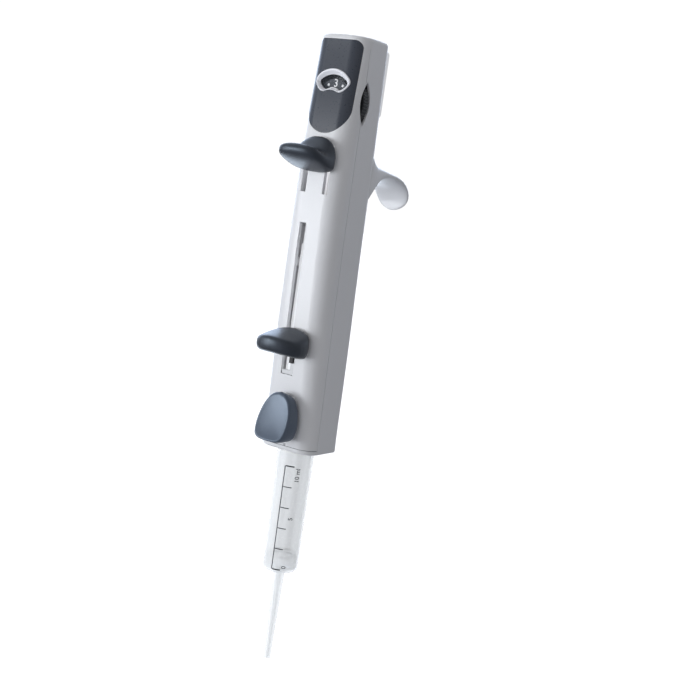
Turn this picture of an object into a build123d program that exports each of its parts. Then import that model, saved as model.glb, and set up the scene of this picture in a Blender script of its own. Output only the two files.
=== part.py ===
"""Hand-operated repeating pipette with a fitted dispenser tip, as separate pieces.

Millimetres. Z runs up along the tip and piston axis, and z = 0 is the seat of the tip in the
handle's foot. The levers are on the front, -Y, and the finger hook is on the back, +Y.
"""
import os
from math import cos, pi, radians, sin

from build123d import *

# ---- tip: 10 ml over the graduated length -------------------------------------------------
TIP_STROKE = 51.3
BORE_R = 7.88
BARREL_TOP_R = 9.21
BARREL_LOW_R = 8.55
BARREL_BOTTOM = -61.6
NOZZLE_END = -107.4
NOZZLE_TOP_R = 2.9
NOZZLE_END_R = 1.5
FLANGE_R = 10.1
FLANGE_TOP = 4.0
PISTON_HEAD_Z = 12.5

# ---- housing: (height, half width, front y, back y) ---------------------------------------
FOOT_Z = -0.8
TOP_Z = 194.3
DOME_R = 120.0
STATIONS = (
    (FOOT_Z, 15.7, -11.7, 12.4),
    (30.0, 15.0, -13.2, 12.8),
    (60.0, 14.4, -14.3, 13.1),
    (100.0, 13.9, -15.1, 12.8),
    (128.0, 13.8, -15.0, 12.5),
    (150.0, 13.8, -14.0, 12.1),
    (170.0, 13.8, -12.4, 11.6),
    (TOP_Z, 13.7, -10.9, 11.1),
)
FRONT_R = 7.8
BACK_R = 3.6
WALL = 2.0
INLAY = 1.2
SKIN = 0.8
SEAM_Y = -5.0
SEAM_GROOVE = 0.3
COLLAR_TOP = 1.2
SOCKET_R = 10.4

# ---- dial ---------------------------------------------------------------------------------
DIAL_Z = 164.0
WHEEL_R = 14.5
WHEEL_FRONT = -5.8
WHEEL_BACK = -1.8
DISC_R = 9.6
DISC_FRONT = -9.2
AXLE_R = 1.5
RUNNING = 0.06
DIAL_RANGE = 120.0
MASK_TRAVEL = 2.0
GROOVE_R = 8.0
GROOVE_WIDTH = 2.0
MASK_FRONT = -1.5
MASK_BACK = -0.7

# ---- window and panel ---------------------------------------------------------------------
PANEL_HALF = 11.9
PANEL_TOP = 191.6
PANEL_LOW = 148.6
WINDOW_TOP = 175.0
WINDOW_LOW = 168.6
WINDOW_HALF = 7.0
BEZEL_HALF = 9.6
BEZEL_TOP = 178.0
BEZEL_LOW = 167.0

# ---- stroke lever and its slide -----------------------------------------------------------
STROKE = 12.0
LEG_X = 6.1
LEG_W = 2.0
LEG_LOW = 133.6
LEG_TOP = 143.0
STROKE_SLOT_W = 2.8
STROKE_SLOT_LOW = LEG_LOW - STROKE - 0.6
STROKE_SLOT_TOP = LEG_TOP + 0.5

# ---- filling lever and rack ---------------------------------------------------------------
SLOT_X = -3.2
SLOT_W = 4.1
SLOT_LOW = 35.9
SLOT_TOP = 107.0
RACK_X = -2.9
RACK_W = 3.8
RACK_FRONT = -9.8
RACK_FACE = -11.8
RACK_TAIL_FACE = -10.9
RACK_TAIL_TOP = 108.5
RACK_BACK = -6.0
RACK_LOW = 14.0
RACK_TOP = 97.0
TOOTH_PITCH = 1.026
TOOTH_DEPTH = 0.6
TEETH = 54
ARM_LOW = 45.0
ARM_TOP = 55.0

# ---- pawl ---------------------------------------------------------------------------------
PAWL_PIN_Y = -3.5
PAWL_PIN_Z = 97.5

# ---- lock lever ---------------------------------------------------------------------------
LOCK_PIN_Y = -16.6
LOCK_PIN_Z = 23.9
LOCK_PIN_R = 0.9
LOCK_EAR_R = 1.8

# ---- return springs -----------------------------------------------------------------------
SPRING_X = 8.3
SPRING_Y = -4.0
SPRING_LOW = 108.0
SPRING_TOP = 131.0
SPRING_R = 1.9
WIRE_R = 0.35


def block(x0, x1, y0, y1, z0, z1):
    """A plain box between two corners."""
    return Pos((x0 + x1) / 2, (y0 + y1) / 2, (z0 + z1) / 2) * Box(x1 - x0, y1 - y0, z1 - z0)


def rod_z(radius, z0, z1, x=0.0, y=0.0):
    """A round bar along Z."""
    return Pos(x, y, (z0 + z1) / 2) * Cylinder(radius, z1 - z0)


def rod_y(radius, y0, y1, x, z):
    """A round bar along Y."""
    return Pos(x, (y0 + y1) / 2, z) * Rot(90, 0, 0) * Cylinder(radius, y1 - y0)


def rod_x(radius, x0, x1, y, z):
    """A round bar along X."""
    return Pos((x0 + x1) / 2, y, z) * Rot(0, 90, 0) * Cylinder(radius, x1 - x0)


def front_plate(sketch, y0, y1):
    """A sketch drawn in x and z as seen from the front, made solid between two y values."""
    face = Plane(origin=(0, y1, 0), x_dir=(1, 0, 0), z_dir=(0, -1, 0)) * sketch
    return extrude(face, amount=y1 - y0)


def side_plate(sketch, x0, x1):
    """A sketch drawn in y and z, made solid between two x values."""
    face = Plane(origin=(x0, 0, 0), x_dir=(0, 1, 0), z_dir=(1, 0, 0)) * sketch
    return extrude(face, amount=x1 - x0)


def housing_section(station, inset):
    """The rounded outline of the handle at one height."""
    z, half, front, back = station
    width = 2 * (half - inset)
    depth = back - front - 2 * inset
    face = Pos(0, (front + back) / 2) * Rectangle(width, depth)
    corners = face.vertices().sort_by(Axis.Y)
    face = fillet(corners[:2], FRONT_R - inset)
    corners = face.vertices().sort_by(Axis.Y)
    face = fillet(corners[-2:], BACK_R - inset * 0.8)
    return Pos(0, 0, z) * face


def housing_solid(inset):
    """The handle's outer form, moved inwards by an inset."""
    return loft([housing_section(station, inset) for station in STATIONS])


def case_cavity():
    """The room inside the walls."""
    return housing_solid(WALL) & block(-20, 20, -20, 20, FOOT_Z - 1, TOP_Z - WALL)


def housing_form():
    """The outer form with its top edge rounded over."""
    dome = Pos(0, 0, TOP_Z - DOME_R) * Sphere(DOME_R)
    form = housing_solid(0) & (dome + block(-30, 30, -30, 30, -10, TOP_Z - 10))
    rim = form.faces().sort_by(Axis.Z)[-1].edges()
    form = fillet(rim, 1.8)
    foot = form.faces().sort_by(Axis.Z)[0].edges()
    return fillet(foot, 0.9)


def lens_outline(half_width, half_height, z):
    """A pointed lens: the overlap of two arcs, long in z."""
    radius = (half_height**2 + half_width**2) / (2 * half_width)
    left = Pos(radius - half_width, z) * Circle(radius)
    right = Pos(half_width - radius, z) * Circle(radius)
    return left & right


def panel_outline(grow=0.0):
    """A shield: straight sides, rounded top corners and a U-shaped foot."""
    half = PANEL_HALF + grow
    shoulder = PANEL_LOW + PANEL_HALF
    top = PANEL_TOP + grow
    upper = Pos(0, (shoulder + top) / 2) * Rectangle(2 * half, top - shoulder)
    upper = fillet(upper.vertices().sort_by(Axis.Y)[-2:], 3.6)
    return upper + Pos(0, shoulder) * Circle(half)


def fan_outline(half, top, low, notch):
    """The window's shape: an arched top, rounded ends and a lower edge with a raised middle."""
    mid = (top + low) / 2
    crown = ThreePointArc((-half, mid), (0, top), (half, mid))
    flank = low + 0.52 * (mid - low)
    right = ThreePointArc((half, mid), (half * 0.83, flank), (half * 0.45, low))
    foot = ThreePointArc((half * 0.45, low), (0, notch), (-half * 0.45, low))
    left = ThreePointArc((-half * 0.45, low), (-half * 0.83, flank), (-half, mid))
    return make_face([crown, right, foot, left])


def hook_outline():
    """The finger hook in y and z: a deep root, a thin arch and an end that curls back in."""
    over = Spline(
        (10.6, 145.5), (13.4, 140.8), (20.0, 137.6), (30.0, 135.6), (40.0, 134.2),
        (47.0, 131.8), (52.0, 128.4), (54.8, 124.6), (55.2, 121.4), (53.4, 118.3),
    )
    lip = ThreePointArc((53.4, 118.3), (51.3, 117.1), (50.6, 118.6))
    under = Spline(
        (50.6, 118.6), (52.4, 122.2), (51.2, 125.4), (47.6, 128.5), (41.0, 131.0),
        (34.0, 131.9), (27.0, 131.2), (20.6, 128.6), (15.6, 124.4), (10.6, 116.0),
    )
    root = Line((10.6, 116.0), (10.6, 145.5))
    return make_face([over, lip, under, root])


def hook_solid():
    """The hook, flush with the handle's sides at its root and narrower at its rounded end."""
    bar = side_plate(hook_outline(), -14.0, 14.0)
    end_y = 55.6
    root, waist, blade = 13.6, 11.2, 10.0
    half = [
        Spline((root, 9.0), (root, 13.0), (waist, 26.0), (blade, 40.0), (blade, end_y - 6.5)),
        ThreePointArc((blade, end_y - 6.5), (blade - 1.8, end_y - 2.1), (blade - 6.0, end_y)),
    ]
    edges = half + [mirror(edge, about=Plane.YZ) for edge in half]
    edges += [Line((-root, 9.0), (root, 9.0)), Line((6.0 - blade, end_y), (blade - 6.0, end_y))]
    hook = bar & extrude(Pos(0, 0, 110) * make_face(edges), amount=40)
    rims = [e for e in hook.edges() if abs(e.center().X) > 3 and e.center().Y > 18 and e.length > 6]
    hook = fillet(rims, 1.0)
    spoon = Pos(0, 126.0) * Ellipse(blade + 0.05, 9.2) + Pos(0, 131.0) * Rectangle(40, 10)
    return hook - (block(-20, 20, 43.0, 60.0, 110.0, 130.0) - front_plate(spoon, 43.0, 60.0))


def wheel_slots():
    """The lens-shaped openings that the thumbwheel shows through on both sides."""
    middle = (WHEEL_FRONT + WHEEL_BACK) / 2
    outline = Pos(middle, 0) * lens_outline(3.5, 10.2, DIAL_Z)
    return side_plate(outline, -20, 20)


def wheel_relief():
    """Room for the thumbwheel inside the case, leaving a thin outer skin."""
    room = rod_y(WHEEL_R + 0.5, WHEEL_FRONT - 0.5, WHEEL_BACK + 0.5, 0, DIAL_Z)
    return room & housing_solid(SKIN)


def front_cutouts(depth_front=-20.0, depth_back=-6.5):
    """The slots for the levers, the wider foot of the long slot and the notch at the bottom."""
    cuts = block(SLOT_X - SLOT_W / 2, SLOT_X + SLOT_W / 2, depth_front, depth_back, SLOT_LOW, SLOT_TOP)
    cuts += block(-5.6, 1.3, depth_front, depth_back, 35.3, 44.4)
    for side in (-1, 1):
        x = side * LEG_X
        half = STROKE_SLOT_W / 2
        cuts += block(x - half, x + half, depth_front, depth_back, STROKE_SLOT_LOW, STROKE_SLOT_TOP)
    cuts += block(0.4, 1.6, depth_front, depth_back, COLLAR_TOP - 1, 2.6)
    return cuts


def lock_ears():
    """Two lugs on the front that carry the lock lever's pin."""
    ears = None
    for side in (-1, 1):
        x = side * 3.6
        ear = rod_x(LOCK_EAR_R, x - 0.8, x + 0.8, LOCK_PIN_Y, LOCK_PIN_Z)
        low, high = LOCK_PIN_Z - LOCK_EAR_R, LOCK_PIN_Z + LOCK_EAR_R
        ear += block(x - 0.8, x + 0.8, LOCK_PIN_Y, -12.0, low, high)
        ears = ear if ears is None else ears + ear
    return ears - rod_x(LOCK_PIN_R, -8, 8, LOCK_PIN_Y, LOCK_PIN_Z)


def seam_grooves(form):
    """The fine lines that show where the front shell and the foot ring meet the rest of the case."""
    skin = form - housing_solid(SEAM_GROOVE)
    upright = block(-20, 20, SEAM_Y - SEAM_GROOVE, SEAM_Y + 0.5, COLLAR_TOP, TOP_Z - 6)
    level = block(-20, 20, -20, 20, COLLAR_TOP - 0.5, COLLAR_TOP + SEAM_GROOVE)
    return skin & (upright + level)


def screw_places():
    """Centres of the case screws, in x and z."""
    return tuple((side * 9.6, z) for z in (30.0, 88.0, 184.0) for side in (-1, 1))


def front_shell(form, inlay_form, hollow):
    """The front half of the case, with the pocket for the panel and every lever slot."""
    shell = form & block(-20, 20, -20, SEAM_Y, COLLAR_TOP, TOP_Z + 1)
    shell -= hollow
    pocket = front_plate(panel_outline(), -20, -4) & (form - inlay_form)
    pocket = pocket & block(-20, 20, -20, -6.0, 140, PANEL_TOP)
    shell -= pocket
    window = fan_outline(BEZEL_HALF - 1.2, BEZEL_TOP - 1.2, BEZEL_LOW + 1.2, BEZEL_LOW + 2.6)
    shell -= front_plate(window, -20, -6)
    shell -= wheel_slots()
    shell -= wheel_relief()
    shell -= front_cutouts()
    shell -= rod_z(SOCKET_R, FOOT_Z - 1, FLANGE_TOP + 1)
    shell -= seam_grooves(form)
    bosses = None
    for x, z in screw_places():
        boss = rod_y(2.3, SEAM_Y - 8.0, SEAM_Y, x, z)
        bosses = boss if bosses is None else bosses + boss
    shell += bosses & inlay_form
    for x, z in screw_places():
        shell -= rod_y(0.9, SEAM_Y - 3.5, SEAM_Y + 1, x, z)
    return shell + (lock_ears() - hollow)


def rear_shell(form, inlay_form, hollow):
    """The back half of the case."""
    shell = form & block(-20, 20, SEAM_Y, 20, COLLAR_TOP, TOP_Z + 1)
    shell -= hollow
    shell -= wheel_slots()
    shell -= wheel_relief()
    shell -= rod_z(SOCKET_R, FOOT_Z - 1, FLANGE_TOP + 1)
    for x, z in screw_places():
        shell += rod_y(2.8, SEAM_Y, 12.0, x, z) & inlay_form
    for x, z in screw_places():
        shell -= rod_y(1.2, SEAM_Y - 1, 20, x, z)
        shell -= rod_y(2.1, 8.6, 20, x, z)
    return shell


def base_collar(form):
    """The foot ring that closes the case round the tip."""
    ring = form & block(-20, 20, -20, 20, FOOT_Z, COLLAR_TOP)
    return ring - rod_z(SOCKET_R, FOOT_Z - 1, COLLAR_TOP + 1)


def display_panel(form, inlay_form):
    """The dark shield let into the front, with the window's opening."""
    shield = front_plate(panel_outline(-0.05), -20, -4) & (form - inlay_form)
    shield = shield & block(-20, 20, -20, -6.0, 140, PANEL_TOP - 0.05)
    window = fan_outline(BEZEL_HALF, BEZEL_TOP, BEZEL_LOW, BEZEL_LOW + 1.75)
    return shield - front_plate(window, -20, -4)


def window_bezel(form):
    """The pale ring round the window, let through the panel."""
    outer = fan_outline(BEZEL_HALF - 0.05, BEZEL_TOP - 0.05, BEZEL_LOW + 0.05, BEZEL_LOW + 1.8)
    inner = fan_outline(WINDOW_HALF, WINDOW_TOP, WINDOW_LOW, WINDOW_LOW + 0.9)
    ring = front_plate(outer, -20, -4) - front_plate(inner, -20, -4)
    return ring & (form - housing_solid(INLAY - 0.02))


def window_lens(form):
    """The clear pane at the back of the bezel."""
    outline = fan_outline(BEZEL_HALF - 1.4, BEZEL_TOP - 1.4, BEZEL_LOW + 1.4, BEZEL_LOW + 2.8)
    pane = front_plate(outline, -20, -4)
    return pane & (housing_solid(INLAY + 0.02) - housing_solid(WALL))


def label_plate():
    """The blank plate on the back of the handle."""
    low, high = 159.0, 190.5
    face = Pos(0, (low + high) / 2) * RectangleRounded(24.4, high - low, 2.4)
    plate = front_plate(face, 9.0, 13.1)
    return plate


def guide_frame():
    """The spine inside the case: dial bracket, spring shelves and the rack's guide walls."""
    frame = block(-6.2, 6.2, 7.4, 9.2, 30.0, 182.0)
    frame += block(-5.5, 5.5, -0.4, 1.0, 158.0, 171.0)
    frame += block(-1.2, 1.2, 1.0, 7.4, 158.0, 171.0)
    for z in (48.0, 100.0, 150.0):
        frame += block(-3.0, 3.0, 9.2, 14.0, z, z + 5.0)
    for side in (-1, 1):
        x0, x1 = sorted((side * 5.8, side * 10.6))
        frame += block(x0, x1, -7.0, 9.2, SPRING_LOW - 2.4, SPRING_LOW)
        frame += rod_z(1.3, SPRING_LOW, SPRING_LOW + 4, side * SPRING_X, SPRING_Y)
        x0, x1 = sorted((side * 7.4, side * 9.4))
        frame += block(x0, x1, -6.6, 9.2, 60.0, 66.0)
        x0, x1 = sorted((side * 6.0, side * 9.4))
        frame += block(x0, x1, 7.4, 9.2, 60.0, 66.0)
    frame += block(-9.4, -5.2, -9.6, -6.0, 60.0, 66.0)
    frame -= rod_y(AXLE_R, -10, 3.0, 0, DIAL_Z)
    return frame


def dial_axle():
    """The fixed pin that the dial turns on."""
    return rod_y(AXLE_R, -8.8, 3.0, 0, DIAL_Z)


def detent_spring():
    """The leaf with a round nose that gives the dial its clicks."""
    leaf = block(-5.0, 5.0, -0.65, -0.4, 168.6, 170.6)
    nose = rod_z(0.5, 168.6, 170.6, 3.6, -0.95)
    return leaf + (nose & block(-6, 6, -1.5, -0.5, 160, 180))


def slot_insert():
    """The pale block at the foot of the long slot, under the buffer."""
    return block(-5.2, 1.0, -13.2, -11.6, 35.5, 37.4) + block(-0.9, 1.0, -13.2, -11.6, 37.4, 41.2)


def end_stop_buffer():
    """The black rubber stop beside the long slot."""
    return block(-0.9, 1.1, -14.6, -11.6, 41.2, 44.2)


def lock_pin():
    """The pin of the lock lever."""
    return rod_x(LOCK_PIN_R, -4.4, 4.4, LOCK_PIN_Y, LOCK_PIN_Z)


def tip_clip():
    """The sprung ring that grips the tip's flange."""
    ring = rod_z(12.0, 5.2, 7.2) - rod_z(9.0, 5.0, 7.4)
    return ring - block(-2, 2, 6, 14, 5, 8)


def housing_screws():
    """The case screws, reached from the back."""
    screws = []
    for x, z in screw_places():
        head = rod_y(1.9, 8.6, 10.2, x, z)
        shank = rod_y(0.9, SEAM_Y - 3.3, 8.6, x, z)
        recess = rod_y(0.8, 9.4, 10.4, x, z)
        screws.append(head + shank - recess)
    return Compound(children=screws)


def rack_bar():
    """The toothed bar behind the long slot, with the arm that carries the filling lever."""
    teeth_low = RACK_TOP - 1.5 - TEETH * TOOTH_PITCH
    points = [(RACK_FRONT, RACK_LOW), (RACK_FRONT, 30.5), (RACK_FRONT - 1.1, 31.6), (RACK_FACE, 60.0)]
    points += [(RACK_FACE, RACK_TOP), (RACK_TAIL_FACE, RACK_TOP), (RACK_TAIL_FACE, RACK_TAIL_TOP)]
    points += [(RACK_TAIL_FACE + 1, RACK_TAIL_TOP), (RACK_TAIL_FACE + 1, RACK_TOP), (RACK_BACK, RACK_TOP)]
    for tooth in range(TEETH, 0, -1):
        z = teeth_low + tooth * TOOTH_PITCH
        points.append((RACK_BACK, z))
        points.append((RACK_BACK - TOOTH_DEPTH, z - TOOTH_PITCH * 0.15))
    points.append((RACK_BACK, teeth_low))
    points.append((RACK_BACK, RACK_LOW))
    outline = make_face(Polyline(*points, close=True))
    bar = side_plate(outline, RACK_X - RACK_W / 2, RACK_X + RACK_W / 2)
    arm = block(RACK_X - 1.5, RACK_X + 1.2, -22.0, RACK_FRONT, ARM_LOW, ARM_TOP)
    return bar + arm


def lever_ring(y, half, low, high):
    """An oval slice of a lever, standing across the y direction."""
    oval = Pos(0, (low + high) / 2) * Ellipse(half, (high - low) / 2)
    return Plane(origin=(0, y, 0), x_dir=(1, 0, 0), z_dir=(0, -1, 0)) * oval


def rounded_ring(y, half, low, high, corner):
    """A rounded slice of a lever, standing across the y direction."""
    slab = Pos(0, (low + high) / 2) * RectangleRounded(2 * half, high - low, corner)
    return Plane(origin=(0, y, 0), x_dir=(1, 0, 0), z_dir=(0, -1, 0)) * slab


def filling_lever():
    """The wing-shaped middle lever, deeper at the handle than at its edge."""
    slices = (
        (-15.5, 8.6, 44.2, 58.2, 3.4),
        (-18.0, 11.0, 44.8, 57.6, 3.4),
        (-22.5, 11.7, 45.8, 56.6, 3.2),
        (-27.0, 10.6, 46.8, 55.3, 3.0),
        (-30.0, 7.9, 47.6, 54.3, 2.6),
        (-31.8, 4.0, 48.6, 53.2, 1.9),
    )
    wing = loft([rounded_ring(*values) for values in slices])
    arm = block(RACK_X - 1.5, RACK_X + 1.2, -22.0, RACK_FRONT, ARM_LOW, ARM_TOP)
    return wing - arm


def piston_gripper():
    """The carrier at the rack's foot that holds the two jaws over the piston head."""
    bridge = block(RACK_X - RACK_W / 2, 4.6, RACK_FRONT, 4.6, 15.6, 18.6)
    bridge -= block(RACK_X - RACK_W / 2, RACK_X + RACK_W / 2, RACK_FRONT, RACK_BACK, 10, 20)
    bridge += block(-4.6, 4.6, -4.6, 4.6, 15.6, 18.6)
    bridge += block(-5.6, 5.6, -1.4, 1.4, 15.6, 18.6)
    return bridge


def jaw(side):
    """One of the two jaws that close on the sides of the piston head."""
    x0, x1 = sorted((side * 3.5, side * 5.4))
    return block(x0, x1, -2.4, 2.4, 9.6, 15.5)


def leg(side):
    """A leg of the stroke slide, through its slot."""
    x = side * LEG_X
    return block(x - LEG_W / 2, x + LEG_W / 2, -18.0, -5.4, LEG_LOW, LEG_TOP)


def stroke_slide():
    """The slide inside the case: two legs forward, and a tail down to the pawl."""
    slide = block(-10.4, 10.4, -5.4, -2.1, 131.2, 146.4)
    slide += leg(-1) + leg(1)
    slide += block(-5.2, -0.6, -4.1, -2.1, 100.5, 131.2)
    for x0 in (-5.6, -1.4):
        slide += block(x0, x0 + 1.2, -4.8, -2.1, 95.6, 102.5)
    slide -= rod_x(0.8, -6, 0, PAWL_PIN_Y, PAWL_PIN_Z)
    for side in (-1, 1):
        slide += rod_z(1.3, SPRING_TOP - 3.0, SPRING_TOP + 0.4, side * SPRING_X, SPRING_Y)
    return slide


def stroke_lever():
    """The upper lever: a dome at the handle, a thumb saddle and a raised lip."""
    slices = (
        (-15.5, 10.4, 130.6, 147.0),
        (-18.5, 11.3, 131.3, 145.6),
        (-23.5, 11.2, 133.1, 142.2),
        (-28.5, 10.4, 134.9, 141.8),
        (-32.0, 8.4, 136.2, 141.6),
        (-34.4, 4.8, 137.6, 140.4),
    )
    body = loft([lever_ring(*values) for values in slices])
    return body - leg(-1) - leg(1)


def pawl_pin():
    """The pin of the ratchet pawl."""
    return rod_x(0.8, -5.6, -0.2, PAWL_PIN_Y, PAWL_PIN_Z)


def pawl():
    """The ratchet pawl, hanging clear of the rack at rest."""
    outline = make_face(Polyline(
        (-4.7, 99.0), (-2.3, 99.0), (-2.3, 95.0), (-3.5, 89.4), (-4.8, 89.0), (-4.6, 91.6), (-4.5, 94.0),
        close=True,
    ))
    body = side_plate(outline, -4.3, -1.5)
    return body - rod_x(0.8 + RUNNING, -6, 0, PAWL_PIN_Y, PAWL_PIN_Z)


def return_spring(side):
    """A compression spring between a shelf of the spine and the stroke slide."""
    height = SPRING_TOP - SPRING_LOW - 2 * WIRE_R - 0.1
    path = Helix(pitch=height / 8, height=height, radius=SPRING_R)
    start = path @ 0
    wire = Plane(origin=start, z_dir=path % 0) * Circle(WIRE_R)
    coil = sweep(wire, path=path, is_frenet=True)
    return Pos(side * SPRING_X, SPRING_Y, SPRING_LOW + WIRE_R + 0.05) * coil


def number_dial():
    """The pale disc that carries the numbers."""
    disc = rod_y(DISC_R, DISC_FRONT, WHEEL_FRONT, 0, DIAL_Z)
    return disc - rod_y(AXLE_R + RUNNING, -12, 0, 0, DIAL_Z)


def spiral_groove():
    """The groove in the wheel's back that sets the mask's height as the dial turns."""
    rate = MASK_TRAVEL / radians(DIAL_RANGE)
    reach = radians(DIAL_RANGE + 14)
    steps = 24
    inner, outer = [], []
    for step in range(steps + 1):
        turn = -reach + 2 * reach * step / steps
        angle = -pi / 2 - turn
        radius = GROOVE_R + rate * turn
        for points, offset in ((inner, -GROOVE_WIDTH / 2), (outer, GROOVE_WIDTH / 2)):
            points.append(((radius + offset) * cos(angle), (radius + offset) * sin(angle)))
    edges = [Spline(*inner), Line(inner[-1], outer[-1]), Spline(*outer[::-1]), Line(outer[0], inner[0])]
    return front_plate(Pos(0, DIAL_Z) * make_face(edges), WHEEL_BACK - 1.5, WHEEL_BACK + 0.5)


def thumbwheel():
    """The knurled wheel behind the number disc."""
    knurls = 60
    wheel = rod_y(WHEEL_R, WHEEL_FRONT, WHEEL_BACK, 0, DIAL_Z)
    wheel = chamfer(wheel.edges().filter_by(GeomType.CIRCLE), 0.4)
    cutters = []
    for step in range(knurls):
        angle = 2 * pi * step / knurls
        x = (WHEEL_R + 0.25) * cos(angle)
        z = DIAL_Z + (WHEEL_R + 0.25) * sin(angle)
        cutters.append(rod_y(0.55, WHEEL_FRONT - 1, WHEEL_BACK + 1, x, z))
    wheel = wheel - cutters
    wheel -= rod_y(AXLE_R + RUNNING, -12, 0, 0, DIAL_Z)
    return wheel - spiral_groove()


def step_mask():
    """The thin strip that hides part of the rack from the pawl, moved by the wheel's groove."""
    pin_z = DIAL_Z - GROOVE_R
    strip = block(-2.4, 2.4, MASK_FRONT, MASK_BACK, 104.0, pin_z + 2.4)
    strip += block(-5.0, 2.4, MASK_FRONT, MASK_BACK, 92.0, 104.0)
    return strip + rod_y(GROOVE_WIDTH / 2 - 0.12, WHEEL_BACK - 1.2, MASK_BACK, 0, pin_z)


def lock_lever():
    """The egg-shaped bottom lever with a flared lower lip, pocketed for its pin."""
    slices = (
        (-13.5, 8.7, 5.8, 27.2),
        (-17.0, 9.4, 5.3, 27.6),
        (-20.4, 8.0, 5.2, 26.4),
        (-22.6, 6.9, 5.1, 18.0),
        (-25.6, 5.0, 5.3, 10.6),
    )
    body = loft([lever_ring(*values) for values in slices])
    pocket = block(-5.0, 5.0, LOCK_PIN_Y - 2.7, -13.0, 16.0, LOCK_PIN_Z + 2.7)
    body -= pocket
    for side in (-1, 1):
        x0, x1 = sorted((side * 2.6, side * 4.6))
        body -= block(x0, x1, LOCK_PIN_Y, -13.0, 20.0, 30.0)
    corner = block(-20, 20, LOCK_PIN_Y, -13.0, LOCK_PIN_Z, 40.0)
    return body - (corner - rod_x(2.9, -20, 20, LOCK_PIN_Y, LOCK_PIN_Z))


def lock_core():
    """The stiff core in the lock lever's pocket, bored for the pin."""
    core = rod_x(1.9, -2.6, 2.6, LOCK_PIN_Y, LOCK_PIN_Z)
    core += block(-2.6, 2.6, LOCK_PIN_Y - 2.7, LOCK_PIN_Y + 0.6, 16.0, LOCK_PIN_Z)
    return core - rod_x(LOCK_PIN_R + RUNNING, -6, 6, LOCK_PIN_Y, LOCK_PIN_Z)


def tip_barrel():
    """The graduated barrel with its flange and long nozzle."""
    outer = Polyline(
        (0, NOZZLE_END), (NOZZLE_END_R, NOZZLE_END), (NOZZLE_TOP_R, BARREL_BOTTOM),
        (BARREL_LOW_R - 1.2, BARREL_BOTTOM), (BARREL_LOW_R, BARREL_BOTTOM + 1.2),
        (BARREL_TOP_R, FLANGE_TOP - 1.6), (FLANGE_R, FLANGE_TOP - 1.6), (FLANGE_R, FLANGE_TOP),
        (0, FLANGE_TOP), close=True,
    )
    bore_floor = BARREL_BOTTOM + 1.4
    inner = Polyline(
        (0, NOZZLE_END - 1), (0.55, NOZZLE_END - 1), (1.5, bore_floor), (BORE_R, bore_floor),
        (BORE_R, FLANGE_TOP + 1), (0, FLANGE_TOP + 1), close=True,
    )
    solid = revolve(Plane.XZ * make_face(outer), axis=Axis.Z)
    return solid - revolve(Plane.XZ * make_face(inner), axis=Axis.Z)


def tip_piston():
    """The cross-ribbed plunger rod with its head."""
    low = BARREL_BOTTOM + 7.6
    shaft = block(-5.6, 5.6, -0.8, 0.8, low, 3.0) + block(-0.8, 0.8, -5.6, 5.6, low, 3.0)
    shaft += rod_z(1.6, 3.0, 10.6) + rod_z(3.4, 10.6, PISTON_HEAD_Z)
    shaft += rod_z(6.9, low - 1.0, low + 0.8) + rod_z(6.4, 2.0, 3.4)
    return shaft


def piston_seal():
    """The plunger's sealing head with two lips."""
    low = BARREL_BOTTOM + 1.6
    seal = rod_z(BORE_R - 0.5, low, low + 5.0)
    for z in (low + 0.6, low + 3.4):
        seal += rod_z(BORE_R - 0.05, z, z + 1.0)
    return seal


def save(name, shape):
    """Write one piece to its own file."""
    shape.label = name
    export_step(shape, os.path.join("parts", name + ".step"))
    print(name, round(shape.volume, 1))


def main():
    os.makedirs("parts", exist_ok=True)
    form = housing_form()
    inlay_form = housing_solid(INLAY)
    hollow = case_cavity()
    save("front_shell", front_shell(form, inlay_form, hollow))
    save("rear_shell", rear_shell(form, inlay_form, hollow))
    save("finger_hook", hook_solid() - form)
    save("base_collar", base_collar(form))
    save("display_panel", display_panel(form, inlay_form))
    save("window_bezel", window_bezel(form))
    save("window_lens", window_lens(form))
    save("label_plate", label_plate() - form)
    save("guide_frame", guide_frame() & hollow)
    save("dial_axle", dial_axle())
    save("detent_spring", detent_spring())
    save("slot_insert", slot_insert())
    save("end_stop_buffer", end_stop_buffer())
    save("lock_pin", lock_pin())
    save("tip_clip", tip_clip() & hollow)
    save("housing_screws", housing_screws())
    save("rack_bar", rack_bar())
    save("filling_lever", filling_lever())
    save("piston_gripper", piston_gripper())
    save("jaw_left", jaw(-1))
    save("jaw_right", jaw(1))
    save("stroke_slide", stroke_slide())
    save("stroke_lever", stroke_lever())
    save("pawl_pin", pawl_pin())
    save("pawl", pawl())
    save("return_spring_left", return_spring(-1))
    save("return_spring_right", return_spring(1))
    save("number_dial", number_dial())
    save("thumbwheel", thumbwheel())
    save("step_mask", step_mask())
    save("lock_lever", lock_lever())
    save("lock_core", lock_core())
    save("tip_barrel", tip_barrel())
    save("tip_piston", tip_piston())
    save("piston_seal", piston_seal())


main()
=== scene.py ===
"""Looks for a hand-operated repeating pipette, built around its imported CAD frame.

Shapes are written in millimetres on the frame's axes: x across, -y to the front, z up.
add_piece turns them into metres. Lights, floor and camera are in metres.
"""

import math

import bmesh
import bpy
from mathutils import Matrix, Vector


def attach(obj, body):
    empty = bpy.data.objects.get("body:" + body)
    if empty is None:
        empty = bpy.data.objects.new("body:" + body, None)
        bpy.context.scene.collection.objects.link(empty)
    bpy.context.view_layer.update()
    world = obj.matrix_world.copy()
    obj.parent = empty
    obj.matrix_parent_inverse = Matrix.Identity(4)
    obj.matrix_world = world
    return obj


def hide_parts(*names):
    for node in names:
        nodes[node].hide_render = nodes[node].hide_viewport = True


MM = 0.001

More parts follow.
